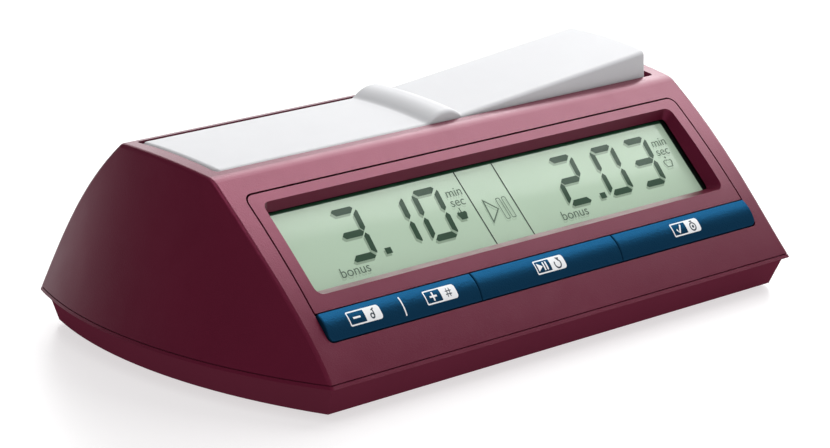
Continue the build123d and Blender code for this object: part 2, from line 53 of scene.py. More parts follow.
# ---- places taken from the frame -------------------------------------------------------------------
shell_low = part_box("upper_shell")[0]
lip = Vector((0, shell_low.y, shell_low.z))


def largest_face_normal(name):
    """Outward normal of a node's largest face."""
    totals = {}
    for face in nodes[name].data.polygons:
        key = tuple(round(c, 3) for c in face.normal)
        totals[key] = totals.get(key, 0) + face.area
    return Vector(max(totals, key=totals.get)).normalized()


normal = largest_face_normal("display_cell")
if normal.z < 0:
    normal = -normal
up_slope = Vector((0, normal.z, -normal.y))


def on_front(x, s, height=0.0):
    """Point over the sloping front, in mm: x, s up the face from the lip, height over the face's chord."""
    return lip + Vector((x, 0, 0)) * MM + up_slope * (s * MM) + normal * (height * MM)


# ---- materials ---------------------------------------------------------------------------------------
def new_material(name):
    """A node material with its Principled shader."""
    material = bpy.data.materials.new(name)
    material.use_nodes = True
    tree = material.node_tree
    return material, tree, tree.nodes["Principled BSDF"]


def noise(tree, scale, detail=2.0, roughness=0.5):
    """A noise texture in object space."""
    coords = tree.nodes.new("ShaderNodeTexCoord")
    texture = tree.nodes.new("ShaderNodeTexNoise")
    texture.inputs["Scale"].default_value = scale
    texture.inputs["Detail"].default_value = detail
    texture.inputs["Roughness"].default_value = roughness
    tree.links.new(coords.outputs["Object"], texture.inputs["Vector"])
    return texture


def ramp(tree, source, low, high):
    """A colour ramp from low to high over the middle of a texture's factor."""
    node = tree.nodes.new("ShaderNodeValToRGB")
    for element, place, colour in zip(node.color_ramp.elements, (0.3, 0.7), (low, high)):
        element.position = place
        element.color = (*colour, 1)
    tree.links.new(source, node.inputs["Fac"])
    return node.outputs["Color"]


def finish(name, colour, roughness, grain, grain_depth, shade=0.06, **sockets):
    """Procedural finish: drifting shade, uneven gloss and a fine surface grain of grain per metre."""
    material, tree, shader = new_material(name)
    low = tuple(c * (1 - shade) for c in colour)
    high = tuple(min(1.0, c * (1 + shade)) for c in colour)
    tree.links.new(ramp(tree, noise(tree, 45, 3).outputs["Fac"], low, high), shader.inputs["Base Color"])
    gloss = ramp(tree, noise(tree, 160).outputs["Fac"], (roughness * 0.92,) * 3, (roughness * 1.08,) * 3)
    tree.links.new(gloss, shader.inputs["Roughness"])
    relief = tree.nodes.new("ShaderNodeBump")
    relief.inputs["Strength"].default_value = 0.6
    relief.inputs["Distance"].default_value = grain_depth
    tree.links.new(noise(tree, grain, 2, 0.6).outputs["Fac"], relief.inputs["Height"])
    tree.links.new(relief.outputs["Normal"], shader.inputs["Normal"])
    for socket, value in sockets.items():
        shader.inputs[socket.replace("_", " ")].default_value = value
    return material


def tinted_gloss(material, tint, roughness, share):
    """The finish with a share of coloured gloss over it, as a deeply dyed plastic shows."""
    tree = material.node_tree
    gloss = tree.nodes.new("ShaderNodeBsdfGlossy")
    gloss.inputs["Color"].default_value = (*tint, 1)
    gloss.inputs["Roughness"].default_value = roughness
    tree.links.new(tree.nodes["Bump"].outputs["Normal"], gloss.inputs["Normal"])
    mix = tree.nodes.new("ShaderNodeMixShader")
    mix.inputs["Fac"].default_value = share
    tree.links.new(tree.nodes["Principled BSDF"].outputs["BSDF"], mix.inputs[1])
    tree.links.new(gloss.outputs["BSDF"], mix.inputs[2])
    tree.links.new(mix.outputs["Shader"], tree.nodes["Material Output"].inputs["Surface"])
    return material


def clear_sheet(name, tint, roughness):
    """A thin clear pane: light goes straight through, and it mirrors weakly, more so at a low angle."""
    material, tree, shader = new_material(name)
    output = tree.nodes["Material Output"]
    tree.nodes.remove(shader)
    through = tree.nodes.new("ShaderNodeBsdfTransparent")
    through.inputs["Color"].default_value = (*tint, 1)
    mirror = tree.nodes.new("ShaderNodeBsdfGlossy")
    mirror.inputs["Roughness"].default_value = roughness
    slant = tree.nodes.new("ShaderNodeLayerWeight")
    slant.inputs["Blend"].default_value = 0.5
    share = tree.nodes.new("ShaderNodeMapRange")
    share.inputs["From Min"].default_value = 0.45
    share.inputs["From Max"].default_value = 1.0
    share.inputs["To Min"].default_value = 0.0
    share.inputs["To Max"].default_value = 0.25
    mix = tree.nodes.new("ShaderNodeMixShader")
    tree.links.new(slant.outputs["Facing"], share.inputs["Value"])
    tree.links.new(share.outputs["Result"], mix.inputs["Fac"])
    tree.links.new(through.outputs["BSDF"], mix.inputs[1])
    tree.links.new(mirror.outputs["BSDF"], mix.inputs[2])
    tree.links.new(mix.outputs["Shader"], output.inputs["Surface"])
    return material


burgundy = finish("burgundy_plastic", (0.083, 0.0066, 0.0195), 0.31, 2300, 0.00006, 0.05,
                  Specular_IOR_Level=0.62, Specular_Tint=(1.0, 0.18, 0.38, 1))
base_plastic = tinted_gloss(finish("base_plastic", (0.070, 0.0055, 0.017), 0.42, 4200, 0.00006, 0.05,
                                   Specular_IOR_Level=0.0), (1.0, 0.3, 0.45), 0.4, 0.04)
white_plastic = finish("white_plastic", (0.635, 0.64, 0.655), 0.5, 3000, 0.00001, 0.006,
                       Specular_IOR_Level=0.15)
blue_plastic = tinted_gloss(finish("blue_plastic", (0.004, 0.021, 0.044), 0.4, 1700, 0.00016, 0.03,
                                   Specular_IOR_Level=0.0), (0.05, 0.42, 0.95), 0.28, 0.055)
black_plastic = finish("black_plastic", (0.012, 0.012, 0.013), 0.45, 2600, 0.00004)
soft_rubber = finish("soft_rubber", (0.02, 0.02, 0.021), 0.75, 1800, 0.00008)
board_mask = finish("board_mask", (0.01, 0.09, 0.035), 0.3, 700, 0.00002, 0.15, Coat_Weight=0.5)
diffuser = finish("diffuser", (0.75, 0.76, 0.74), 0.6, 2000, 0.00003)
steel = finish("steel", (0.55, 0.55, 0.57), 0.3, 900, 0.00002, 0.08, Metallic=1.0)
nickel = finish("nickel", (0.72, 0.69, 0.64), 0.2, 900, 0.00002, 0.08, Metallic=1.0)
cell_jacket = finish("cell_jacket", (0.02, 0.022, 0.026), 0.25, 300, 0.00001, 0.1, Coat_Weight=0.6)
white_print = finish("white_print", (0.80, 0.81, 0.82), 0.5, 3000, 0.00001, 0.01)
dark_print = finish("dark_print", (0.006, 0.02, 0.04), 0.45, 3000, 0.00001, 0.02)


def glassy(name, colour, shade, level):
    """A display tone right under the glass: it mirrors the lights sharply but weakly."""
    return finish(name, colour, 0.05, 900, 0.0000002, shade, Specular_IOR_Level=level)


def dull(name, colour, shade):
    """A display tone with next to no gloss."""
    return finish(name, colour, 0.5, 3000, 0.00001, shade, Specular_IOR_Level=0.2)


lcd_back = glassy("lcd_back", (0.50, 0.625, 0.50), 0.012, 0.16)
lcd_segment = glassy("lcd_segment", (0.046, 0.085, 0.058), 0.05, 0.07)
lcd_shadow = glassy("lcd_shadow", (0.30, 0.39, 0.30), 0.02, 0.16)
# painted shadow tone: the legends' copies in this lighter green, shifted down and left, stand in for the
# legends' shadows on the field
lcd_legend_shadow_paint = glassy("lcd_legend_shadow_paint", (0.42, 0.53, 0.42), 0.02, 0.16)
lcd_line = dull("lcd_line", (0.004, 0.014, 0.008), 0.02)
lcd_faint = dull("lcd_faint", (0.095, 0.145, 0.105), 0.03)
lcd_mask = dull("lcd_mask", (0.006, 0.007, 0.007), 0.05)
# dark-green rim round the field: a thin edge at the sides and bottom, and along the top a wider band that
# is painted shade under the bezel's upper wall
lcd_rim_and_shade = finish("lcd_rim_and_shade", (0.012, 0.065, 0.03), 0.3, 3000, 0.00001, 0.05)
pane = clear_sheet("clear_pane", (0.985, 0.995, 0.985), 0.02)

NODE_MATERIALS = {
    "upper_shell": burgundy, "base_shell": base_plastic, "display_bezel": burgundy,
    "battery_cover": burgundy,
    "display_window": pane, "display_backing": diffuser, "display_connectors": soft_rubber,
    "main_board": board_mask, "clock_controller": black_plastic,
    "timing_crystal": nickel, "board_capacitors": black_plastic, "sound_buzzer": black_plastic,
    "key_switches": black_plastic, "board_screws": steel, "button_pivot_pin": steel,
    "rocker_pivot_pin": steel, "case_screws": steel, "lever_magnets": nickel, "magnet_plates": steel,
    "lever_stop_pads": soft_rubber, "lever_sensors": black_plastic, "battery_cells": cell_jacket,
    "battery_contacts": nickel, "battery_springs": nickel, "rubber_feet": soft_rubber,
    "power_switch_body": black_plastic, "power_switch_slider": black_plastic,
    "rocker_lever": white_plastic, "minus_plus_button": blue_plastic, "play_pause_button": blue_plastic,
    "confirm_button": blue_plastic, "display_cell": lcd_mask,
}
for node_name, material in NODE_MATERIALS.items():
    node = nodes[node_name]
    node.data.materials.clear()
    node.data.materials.append(material)


# ---- mesh helpers ------------------------------------------------------------------------------------
def piece(name, body, material, shapes, crease=40):
    """A piece of one or more closed shapes that rides on a body; edges over crease degrees stay crisp."""
    vertices, faces = [], []
    for shape_vertices, shape_faces in shapes:
        start = len(vertices)
        vertices += [tuple(v) for v in shape_vertices]
        faces += [tuple(start + i for i in face) for face in shape_faces]
    mesh = bpy.data.meshes.new(name)
    mesh.from_pydata(vertices, [], faces)
    sorter = bmesh.new()
    sorter.from_mesh(mesh)
    bmesh.ops.recalc_face_normals(sorter, faces=sorter.faces)
    for face in sorter.faces:
        face.smooth = True
    sorter.to_mesh(mesh)
    sorter.free()
    mesh.materials.append(material)
    mesh.set_sharp_from_angle(angle=radians(crease))
    thing = bpy.data.objects.new(name, mesh)
    bpy.context.scene.collection.objects.link(thing)
    weighted = thing.modifiers.new("weighted", "WEIGHTED_NORMAL")
    weighted.keep_sharp = True
    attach(thing, body)
    return thing


def tube(rows):
    """Vertices and faces of a closed form lofted through rings of equal length, capped at both ends."""
    width = len(rows[0])
    vertices = [point for row in rows for point in row]
    faces = []
    for i in range(len(rows) - 1):
        for j in range(width):
            a = i * width + j
            b = i * width + (j + 1) % width
            faces.append((a, b, b + width, a + width))
    faces.append(tuple(reversed(range(width))))
    faces.append(tuple(range((len(rows) - 1) * width, len(rows) * width)))
    return vertices, faces


def rounding(radius, distance):
    """How far a rounded edge of that radius stands back at a distance from its end."""
    if distance >= radius:
        return 0.0
    return radius - sqrt(radius**2 - (radius - distance)**2)


# ---- rocker lever ------------------------------------------------------------------------------------
lever_joint = next(j for j in frame["joints"] if j["name"] == "lever_rock")
PIVOT_Z = lever_joint["pos_m"][2] / MM
SWING = radians(5.0)
LEVER_Y = (-4.1, 27.3)
LEVER_MID = sum(LEVER_Y) / 2
SKIRT_Z = 47.9
LEVER_TIP = 98.4
LEVER_WALL = 2.0
TOP_ROUND = 1.4
TIP_ROUND = 1.7
RIDGE_HALF, RIDGE_RISE = 7.7, 3.1
RIM_FRONT, RIM_BACK, CROWN_BOW = (-8.0, 58.3), (29.6, 60.5), 1.05
MAGNET_X, MAGNET_RADIUS, CUP_RADIUS = -62, 4.02, 5.6
LEG_HALF, LEG_TOP, BORE_RADIUS = 4.0, 28.6, 1.58
crown_chord = hypot(RIM_BACK[0] - RIM_FRONT[0], RIM_BACK[1] - RIM_FRONT[1])
crown_radius = (crown_chord**2 / 4 + CROWN_BOW**2) / (2 * CROWN_BOW)
crown_reach = crown_radius - CROWN_BOW
crown_y = (RIM_FRONT[0] + RIM_BACK[0]) / 2 + (RIM_BACK[1] - RIM_FRONT[1]) / crown_chord * crown_reach
crown_z = (RIM_FRONT[1] + RIM_BACK[1]) / 2 - (RIM_BACK[0] - RIM_FRONT[0]) / crown_chord * crown_reach


def crown_height(y):
    """Height of the housing's crowned top at y."""
    return crown_z + sqrt(crown_radius**2 - (y - crown_y)**2)


VERTEX_X = -(crown_height(LEVER_Y[0]) - PIVOT_Z) * tan(SWING / 2)


def ridge_height(offset, blend):
    """Height of the ridge over the level half at a distance from the crease, run out over blend mm."""
    radius = (RIDGE_HALF**2 + RIDGE_RISE**2) / (2 * RIDGE_RISE)
    reach = radius**2 - offset**2
    hump = (sqrt(reach) if reach > 0 else -abs(offset)) - radius + RIDGE_RISE
    if hump > blend:
        return hump
    if hump < -blend:
        return 0.0
    return (hump + blend)**2 / (4 * blend)


def lever_ring(x, blend):
    """One cross-section of the level half: outer skin from the near skirt over the top, then the cavity."""
    edge = x + LEVER_TIP
    draw = rounding(TIP_ROUND, edge)
    rise = ridge_height(x - VERTEX_X, blend) - rounding(TOP_ROUND, edge)
    near, far = LEVER_Y[0] + draw, LEVER_Y[1] - draw
    ring = [(near, SKIRT_Z), (near, SKIRT_Z + 4), (near, crown_height(near) - 2.8)]
    for i in range(7):
        turn = pi / 2 * i / 6
        y = near + TOP_ROUND * (1 - cos(turn))
        ring.append((y, crown_height(near + TOP_ROUND) + rise - TOP_ROUND * (1 - sin(turn))))
    for i in range(1, 18):
        y = near + TOP_ROUND + (far - near - 2 * TOP_ROUND) * i / 18
        ring.append((y, crown_height(y) + rise))
    for i in range(7):
        turn = pi / 2 * (1 - i / 6)
        y = far - TOP_ROUND * (1 - cos(turn))
        ring.append((y, crown_height(far - TOP_ROUND) + rise - TOP_ROUND * (1 - sin(turn))))
    ring += [(far, crown_height(far) - 2.8), (far, SKIRT_Z + 4), (far, SKIRT_Z)]
    hollow = edge > 2.6
    for y in (LEVER_Y[1] - LEVER_WALL, LEVER_Y[0] + LEVER_WALL):
        inside = min(max(y, near + 0.3), far - 0.3)
        ceiling = crown_height(inside) - LEVER_WALL - 0.3 if hollow else SKIRT_Z + 0.04
        pair = [(inside, SKIRT_Z), (inside, ceiling)]
        ring += pair if y > LEVER_MID else reversed(pair)
    lean = max(0.0, 1 - abs(x - VERTEX_X) / 6)
    near_tip = max(0.0, 1 - edge / 12)
    points = []
    for y, z in ring:
        tilt = -(z - PIVOT_Z) * tan(SWING / 2) - VERTEX_X
        bowed = 0.5 * ((y - LEVER_MID) / 15.7)**2 + 0.4 * (z - SKIRT_Z) / 11
        points.append(Vector((x + tilt * lean + bowed * near_tip, y, z)) * MM)
    return points


def mirrored(point):
    """A point of the level half carried over to the raised half."""
    direction = Vector((cos(SWING / 2), 0, sin(SWING / 2)))
    return point - direction * (2 * direction.dot(point - Vector((0, 0, PIVOT_Z * MM))))


def magnet_cup():
    """The level half's magnet holder: a round post with a pocket in its foot."""
    rings = []
    for radius, z in ((MAGNET_RADIUS, SKIRT_Z + 3), (MAGNET_RADIUS, SKIRT_Z), (CUP_RADIUS, SKIRT_Z),
                      (CUP_RADIUS, crown_height(LEVER_MID) - 1.5)):
        rings.append([Vector((MAGNET_X + radius * cos(turn), LEVER_MID + radius * sin(turn), z)) * MM
                      for turn in (pi * i / 20 for i in range(40))])
    return rings


def leg(low_y, high_y):
    """A lever leg: a flat bar from the top skin down to its rounded foot, bored for the pin."""
    shoulders = [(LEG_HALF, 10), (LEG_HALF, LEG_TOP), (1.5, LEG_TOP), (-1.5, LEG_TOP), (-LEG_HALF, LEG_TOP),
                 (-LEG_HALF, 10)]
    foot = [(-LEG_HALF * cos(pi * i / 14), -LEG_HALF * sin(pi * i / 14)) for i in range(15)]
    outline = foot + shoulders
    count = len(outline)
    loops = []
    for y, outside in ((low_y, True), (high_y, True), (high_y, False), (low_y, False)):
        loop = []
        for i, (a, b) in enumerate(outline):
            if not outside:
                share = i / 14 * pi if i < 15 else pi + (i - 14) / (count - 14) * pi
                a, b = -BORE_RADIUS * cos(share), -BORE_RADIUS * sin(share)
            loop.append(Vector((a * cos(SWING / 2) - b * sin(SWING / 2), y,
                                PIVOT_Z + b * cos(SWING / 2) + a * sin(SWING / 2))) * MM)
        loops.append(loop)
    vertices = [point for loop in loops for point in loop]
    faces = []
    for k in range(4):
        for i in range(count):
            a, b = k * count + i, k * count + (i + 1) % count
            c, d = (k + 1) % 4 * count + (i + 1) % count, (k + 1) % 4 * count + i
            faces.append((a, b, c, d))
    return vertices, faces


tip_steps = [0, 0.04, 0.12, 0.25, 0.45, 0.75, 1.1, 1.4, 1.7, 2.3, 2.58, 2.7, 4, 7, 12]
stations = [-LEVER_TIP + step for step in tip_steps] + [-80 + 6 * i for i in range(11)]
stations += [VERTEX_X - 13 + 0.5 * i for i in range(26)]
rows = [lever_ring(x, 0.8) for x in stations] + [lever_ring(VERTEX_X, 0.8)]
rows += [[mirrored(point) for point in lever_ring(x, 0.2)] for x in reversed(stations)]
cups = [tube(magnet_cup()), tube([[mirrored(point) for point in ring] for ring in magnet_cup()])]
lever_skin = piece("rocker_lever_skin", "lever", white_plastic,
                   [tube(rows), *cups, leg(4.3, 7.3), leg(14.7, 17.7)])
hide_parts("rocker_lever")

# ---- blue caps -----------------------------------------------------------------------------------------
FRONT_LIP = (-59.3, 10.0)
FRONT_LENGTH = hypot(RIM_FRONT[0] - FRONT_LIP[0], RIM_FRONT[1] - FRONT_LIP[1])
FRONT_BOW = 2.0
FRONT_RADIUS = ((FRONT_LENGTH / 2)**2 + FRONT_BOW**2) / (2 * FRONT_BOW)
CAP_S = (13.3, 22.2)
CAP_TOP_S = 17.7
CAP_RISE = (0.1, 0.5)
CAP_BULGE = 1.2
CAP_ROUND = 0.45


def face_height(s):
    """Height of the bowed front over its chord at s."""
    return sqrt(FRONT_RADIUS**2 - (s - FRONT_LENGTH / 2)**2) - (FRONT_RADIUS - FRONT_BOW)


def cap_circle():
    """Centre and radius of the arc over a cap's side view."""
    (ax, ay), (bx, by), (cx, cy) = ((CAP_S[0], face_height(CAP_S[0]) + CAP_RISE[0]),
                                    (CAP_TOP_S, face_height(CAP_TOP_S) + CAP_BULGE),
                                    (CAP_S[1], face_height(CAP_S[1]) + CAP_RISE[1]))
    twice = 2 * (ax * (by - cy) + bx * (cy - ay) + cx * (ay - by))
    x = ((ax**2 + ay**2) * (by - cy) + (bx**2 + by**2) * (cy - ay) + (cx**2 + cy**2) * (ay - by)) / twice
    y = ((ax**2 + ay**2) * (cx - bx) + (bx**2 + by**2) * (ax - cx) + (cx**2 + cy**2) * (bx - ax)) / twice
    return x, y, hypot(ax - x, ay - y)


cap_middle_s, cap_middle_h, cap_radius = cap_circle()


def cap_height(s):
    """Height of a cap's outside over the front's chord at s."""
    return cap_middle_h + sqrt(cap_radius**2 - (s - cap_middle_s)**2)


def cap_ring(x, edge, corners):
    """One ring of a cap at x, edge mm from its nearer end; corners are that end's corner radii in plan."""
    low = CAP_S[0] + rounding(corners[0], edge)
    high = CAP_S[1] - rounding(corners[1], edge)
    drop = rounding(CAP_ROUND, edge)
    ring = [(low, -1.5), (low, -0.5)]
    for i in range(6):
        turn = pi / 2 * i / 5
        ring.append((low + CAP_ROUND * (1 - cos(turn)),
                     cap_height(low + CAP_ROUND) - drop - CAP_ROUND * (1 - sin(turn))))
    for i in range(1, 14):
        s = low + CAP_ROUND + (high - low - 2 * CAP_ROUND) * i / 14
        ring.append((s, cap_height(s) - drop))
    for i in range(6):
        turn = pi / 2 * (1 - i / 5)
        ring.append((high - CAP_ROUND * (1 - cos(turn)),
                     cap_height(high - CAP_ROUND) - drop - CAP_ROUND * (1 - sin(turn))))
    ring += [(high, -0.5), (high, -1.5)]
    return [on_front(x, s, h) for s, h in ring]


def cap_rows(low_x, high_x, low_corners, high_corners):
    """All rings of a cap from end to end."""
    steps = [0, 0.03, 0.1, 0.22, 0.45, 0.8, 1.3, 2.0]
    rings = [cap_ring(low_x + step, step, low_corners) for step in steps]
    middle = high_x - low_x - 2 * steps[-1]
    count = int(middle / 4)
    rings += [cap_ring(low_x + steps[-1] + middle * i / count, 5, (0.1, 0.1)) for i in range(1, count)]
    rings += [cap_ring(high_x - step, step, high_corners) for step in reversed(steps)]
    return rings


INNER_END = (0.15, 0.15)
OUTER_END = (1.9, 0.7)
CAPS = {
    "minus_plus": ("minus_plus_cap", -97.6, -33.625, OUTER_END, INNER_END),
    "play_pause": ("play_pause_cap", -33.375, 31.175, INNER_END, INNER_END),
    "confirm": ("confirm_cap", 31.425, 97.6, INNER_END, OUTER_END),
}
for cap_name, (body, low_x, high_x, low_corners, high_corners) in CAPS.items():
    cap = piece(f"{cap_name}_cap", body, blue_plastic,
                [tube(cap_rows(low_x, high_x, low_corners, high_corners))])
    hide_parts(f"{cap_name}_button")


# ---- flat artwork ----------------------------------------------------------------------------------------
def arc(x, y, radius, start, end, count=24):
    """Points along an arc, in degrees."""
    return [(x + radius * cos(radians(start + (end - start) * i / count)),
             y + radius * sin(radians(start + (end - start) * i / count))) for i in range(count + 1)]


def rounded(x0, y0, x1, y1, radii):
    """Outline of a rectangle; its corner radii go low left, low right, high right, high left."""
    corners = [(x0, y0, 180), (x1, y0, 270), (x1, y1, 0), (x0, y1, 90)]
    points = []
    for (x, y, start), radius in zip(corners, radii):
        inward_x = 1 if x == x0 else -1
        inward_y = 1 if y == y0 else -1
        points += arc(x + inward_x * radius, y + inward_y * radius, radius, start, start + 90, 6)
    return points


def band(points, width):
    """Outline of a stroke of constant width along open points."""
    left, right = [], []
    for i, (x, y) in enumerate(points):
        ahead = points[min(i + 1, len(points) - 1)]
        behind = points[max(i - 1, 0)]
        dx, dy = ahead[0] - behind[0], ahead[1] - behind[1]
        length = hypot(dx, dy)
        left.append((x - dy / length * width / 2, y + dx / length * width / 2))
        right.append((x + dy / length * width / 2, y - dx / length * width / 2))
    return left + right[::-1]


def circle(x, y, radius, count=28):
    """Outline of a circle."""
    return arc(x, y, radius, 0, 360 - 360 / count, count - 1)


def sheet_of(curve):
    """Mesh of a filled curve; the curve itself is dropped."""
    holder = bpy.data.objects.new("artwork", curve)
    bpy.context.scene.collection.objects.link(holder)
    bpy.context.view_layer.update()
    mesh = bpy.data.meshes.new_from_object(holder.evaluated_get(bpy.context.evaluated_depsgraph_get()))
    bpy.data.objects.remove(holder)
    bpy.data.curves.remove(curve)
    return mesh


def filled(outlines):
    """Triangulated sheet of closed outlines, where an outline inside another is a hole."""
    curve = bpy.data.curves.new("artwork", "CURVE")
    curve.dimensions = "2D"
    curve.fill_mode = "BOTH"
    for outline in outlines:
        spline = curve.splines.new("POLY")
        spline.points.add(len(outline) - 1)
        for point, (x, y) in zip(spline.points, outline):
            point.co = (x, y, 0, 1)
        spline.use_cyclic_u = True
    return sheet_of(curve)


def lettering(text, size):
    """Triangulated sheet of a short word in the built-in face, its lower left corner at the origin."""
    curve = bpy.data.curves.new("artwork", "FONT")
    curve.body = text
    curve.size = size
    return sheet_of(curve)


def sheets(name, body, material, parts, height, slices=0.0):
    """One thin piece out of flat meshes placed at (x, s); height(s) is in mm over the front's chord."""
    joined = bmesh.new()
    for mesh, x, s in parts:
        before = len(joined.verts)
        joined.from_mesh(mesh)
        joined.verts.ensure_lookup_table()
        for vertex in joined.verts[before:]:
            vertex.co.x += x
            vertex.co.y += s
    bmesh.ops.remove_doubles(joined, verts=joined.verts, dist=0.002)
    if slices:
        cut = min(vertex.co.y for vertex in joined.verts) + slices
        high = max(vertex.co.y for vertex in joined.verts)
        while cut < high:
            bmesh.ops.bisect_plane(joined, geom=joined.verts[:] + joined.edges[:] + joined.faces[:],
                                   plane_co=(0, cut, 0), plane_no=(0, 1, 0))
            cut += slices
    joined.normal_update()
    for face in joined.faces:
        if face.normal.z < 0:
            face.normal_flip()
    for vertex in joined.verts:
        vertex.co = on_front(vertex.co.x, vertex.co.y, height(vertex.co.y))
    mesh = bpy.data.meshes.new(name)
    joined.to_mesh(mesh)
    joined.free()
    mesh.materials.append(material)
    thing = bpy.data.objects.new(name, mesh)
    bpy.context.scene.collection.objects.link(thing)
    thickness = thing.modifiers.new("thickness", "SOLIDIFY")
    thickness.thickness = 0.015 * MM
    thickness.offset = -1
    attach(thing, body)
    return thing


# ---- printed key legends ---------------------------------------------------------------------------------
BOX_HALF = (6.65, 2.25)
BORDER = 0.42
LEGEND_S = 18.0
DIVIDER_X, DIVIDER_S = -65.7, 17.65
WHITE_LIFT, DARK_LIFT, BEND = 0.02, 0.045, 0.45
legend_box = rounded(-BOX_HALF[0], -BOX_HALF[1], BOX_HALF[0], BOX_HALF[1], (0.5, 1.0, 1.0, 0.5))
legend_window = rounded(-BOX_HALF[0] + BORDER, -BOX_HALF[1] + BORDER, 0.1, BOX_HALF[1] - BORDER, (0.2,) * 4)
minus = rounded(-4.7, -0.3, -1.7, 0.3, (0.1,) * 4)
plus = [(-4.7, -0.3), (-3.5, -0.3), (-3.5, -1.4), (-2.9, -1.4), (-2.9, -0.3), (-1.7, -0.3),
        (-1.7, 0.3), (-2.9, 0.3), (-2.9, 1.4), (-3.5, 1.4), (-3.5, 0.3), (-4.7, 0.3)]
play = [(-5.6, -1.35), (-3.4, 0), (-5.6, 1.35)]
bars = [rounded(x, -1.35, x + 0.62, 1.35, (0.08,) * 4) for x in (-3.1, -1.9)]
tick = band([(-4.6, 0.0), (-3.7, -1.25), (-2.1, 1.35)], 0.62)
note_head = [circle(2.9, -0.75, 0.92), circle(2.9, -0.75, 0.46)]
note_stem = [band([(3.68, -0.75), (3.68, 1.2)], 0.44)]
note_flag = [band([(3.1, 0.95), (4.3, 1.5)], 0.4)]
uprights = [band([(2.6, -1.35), (2.9, 1.35)], 0.3), band([(3.7, -1.35), (4.0, 1.35)], 0.3)]
crossbars = [band([(2.0, -0.5), (4.5, -0.5)], 0.3), band([(2.1, 0.5), (4.6, 0.5)], 0.3)]
turn = [band(arc(3.3, -0.35, 1.35, -215, 55, 20), 0.46)]
turn_head = [[(3.0, 1.75), (4.75, 1.5), (3.95, 0.3)]]
watch = [circle(3.3, -0.35, 1.5), circle(3.3, -0.35, 1.04), circle(3.3, -0.35, 0.5)]
watch_crown = [band([(2.7, 1.5), (3.9, 1.5)], 0.5)]
LEGENDS = {
    -81.5: ("minus_plus", [minus], [note_head, note_stem, note_flag]),
    -49.5: ("minus_plus", [plus], [uprights, crossbars]),
    -0.8: ("play_pause", [play, *bars], [turn, turn_head]),
    64.4: ("confirm", [tick], [watch, watch_crown]),
}
for key in CAPS:
    body = CAPS[key][0]
    whites, darks = [], []
    for x, (owner, light, dark) in LEGENDS.items():
        if owner == key:
            whites.append((filled([legend_box, legend_window, *light]), x, LEGEND_S))
            darks += [(filled(group), x, LEGEND_S) for group in dark]
    if key == "minus_plus":
        whites.append((filled([rounded(-0.25, -2.95, 0.25, 2.95, (0.1,) * 4)]), DIVIDER_X, DIVIDER_S))
    sheets(f"{key}_legend_white", body, white_print, whites,
           lambda s: cap_height(s) + WHITE_LIFT, BEND)
    sheets(f"{key}_legend_dark", body, dark_print, darks,
           lambda s: cap_height(s) + DARK_LIFT, BEND)

# ---- display ---------------------------------------------------------------------------------------------
FIELD_HALF = 89.7
FIELD_S = (30.2, 56.75)
FIELD_DEPTH = 3.12
CELL_S = (28.95, 58.75)
CELL_BACK = 5.05
PLATE_STEP = 0.04
SHADOW_LIFT, MARK_LIFT = 0.02, 0.05
RULE_X, RULE_HALF = (-9.6, 7.5), 0.24
WORD_STRETCH = 1.15


def slab(name, material, outline, low, high):
    """A display plate from an outline on the front, between two heights over the chord."""
    rings = [[on_front(x, s, height) for x, s in outline] for height in (low, high)]
    return piece(name, "housing", material, [tube(rings)])


CELL_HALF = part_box("display_cell")[1].x / MM
glass_plate = slab("display_glass_plate", lcd_mask,
                   rounded(-CELL_HALF, CELL_S[0], CELL_HALF, CELL_S[1], (0.5,) * 4),
                   -CELL_BACK, -FIELD_DEPTH - 2 * PLATE_STEP)
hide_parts("display_cell")
# the rim stands 1 mm out past the field's top edge as painted shade under the bezel's upper wall; at the
# sides and bottom it is a thin dark-green edge
slab("display_field_rim_and_shade", lcd_rim_and_shade,
     rounded(-FIELD_HALF - 0.3, FIELD_S[0] - 0.2, FIELD_HALF + 0.3, FIELD_S[1] + 1.0, (0.6,) * 4),
     -FIELD_DEPTH - 2 * PLATE_STEP, -FIELD_DEPTH - PLATE_STEP)
slab("display_field", lcd_back, rounded(-FIELD_HALF, FIELD_S[0], FIELD_HALF, FIELD_S[1], (0.5,) * 4),
     -FIELD_DEPTH - PLATE_STEP, -FIELD_DEPTH)

DIGIT_WIDTH, DIGIT_HEIGHT, STROKE, SLANT, GAP = 11.7, 17.6, 2.15, 0.11, 0.28
DIGITS = {"0": "abcdef", "1": "bc", "2": "abged", "3": "abgcd"}


def segment(letter):
    """Outline of one bar of a seven-bar digit in its upright cell."""
    half = STROKE / 2
    mid = DIGIT_HEIGHT / 2
    level = {"a": DIGIT_HEIGHT - half, "g": mid, "d": half}
    if letter in level:
        y = level[letter]
        x0, x1 = half + GAP, DIGIT_WIDTH - half - GAP
        if letter == "g":
            return [(x0, y), (x0 + half, y - half), (x1 - half, y - half), (x1, y), (x1 - half, y + half),
                    (x0 + half, y + half)]
        outer, inner = (half, -half) if letter == "a" else (-half, half)
        return [(x0 - 0.1, y + outer * 0.35), (x0 + 0.75, y + outer), (x1 - 0.75, y + outer),
                (x1 + 0.1, y + outer * 0.35), (x1 - half - 0.35, y + inner), (x0 + half + 0.35, y + inner)]
    left = letter in "ef"
    low = half + GAP if letter in "ec" else mid + GAP
    high = mid - GAP if letter in "ec" else DIGIT_HEIGHT - half - GAP
    x_out, x_in = (0, STROKE) if left else (DIGIT_WIDTH, DIGIT_WIDTH - STROKE)
    x_mid = (x_out + x_in) / 2
    if letter in "ec":
        return [(x_out * 0.65 + x_mid * 0.35, low), (x_in, low + half + 0.3), (x_in, high - half),
                (x_mid, high), (x_out, high - half), (x_out, low + 0.6)]
    return [(x_mid, low), (x_in, low + half), (x_in, high - half - 0.3),
            (x_out * 0.65 + x_mid * 0.35, high), (x_out, high - 0.6), (x_out, low + half)]


def digit(character, x, s):
    """Outlines of a slanted digit whose lower left corner stands at (x, s)."""
    return [[(x + px + SLANT * py, s + py) for px, py in segment(letter)] for letter in DIGITS[character]]


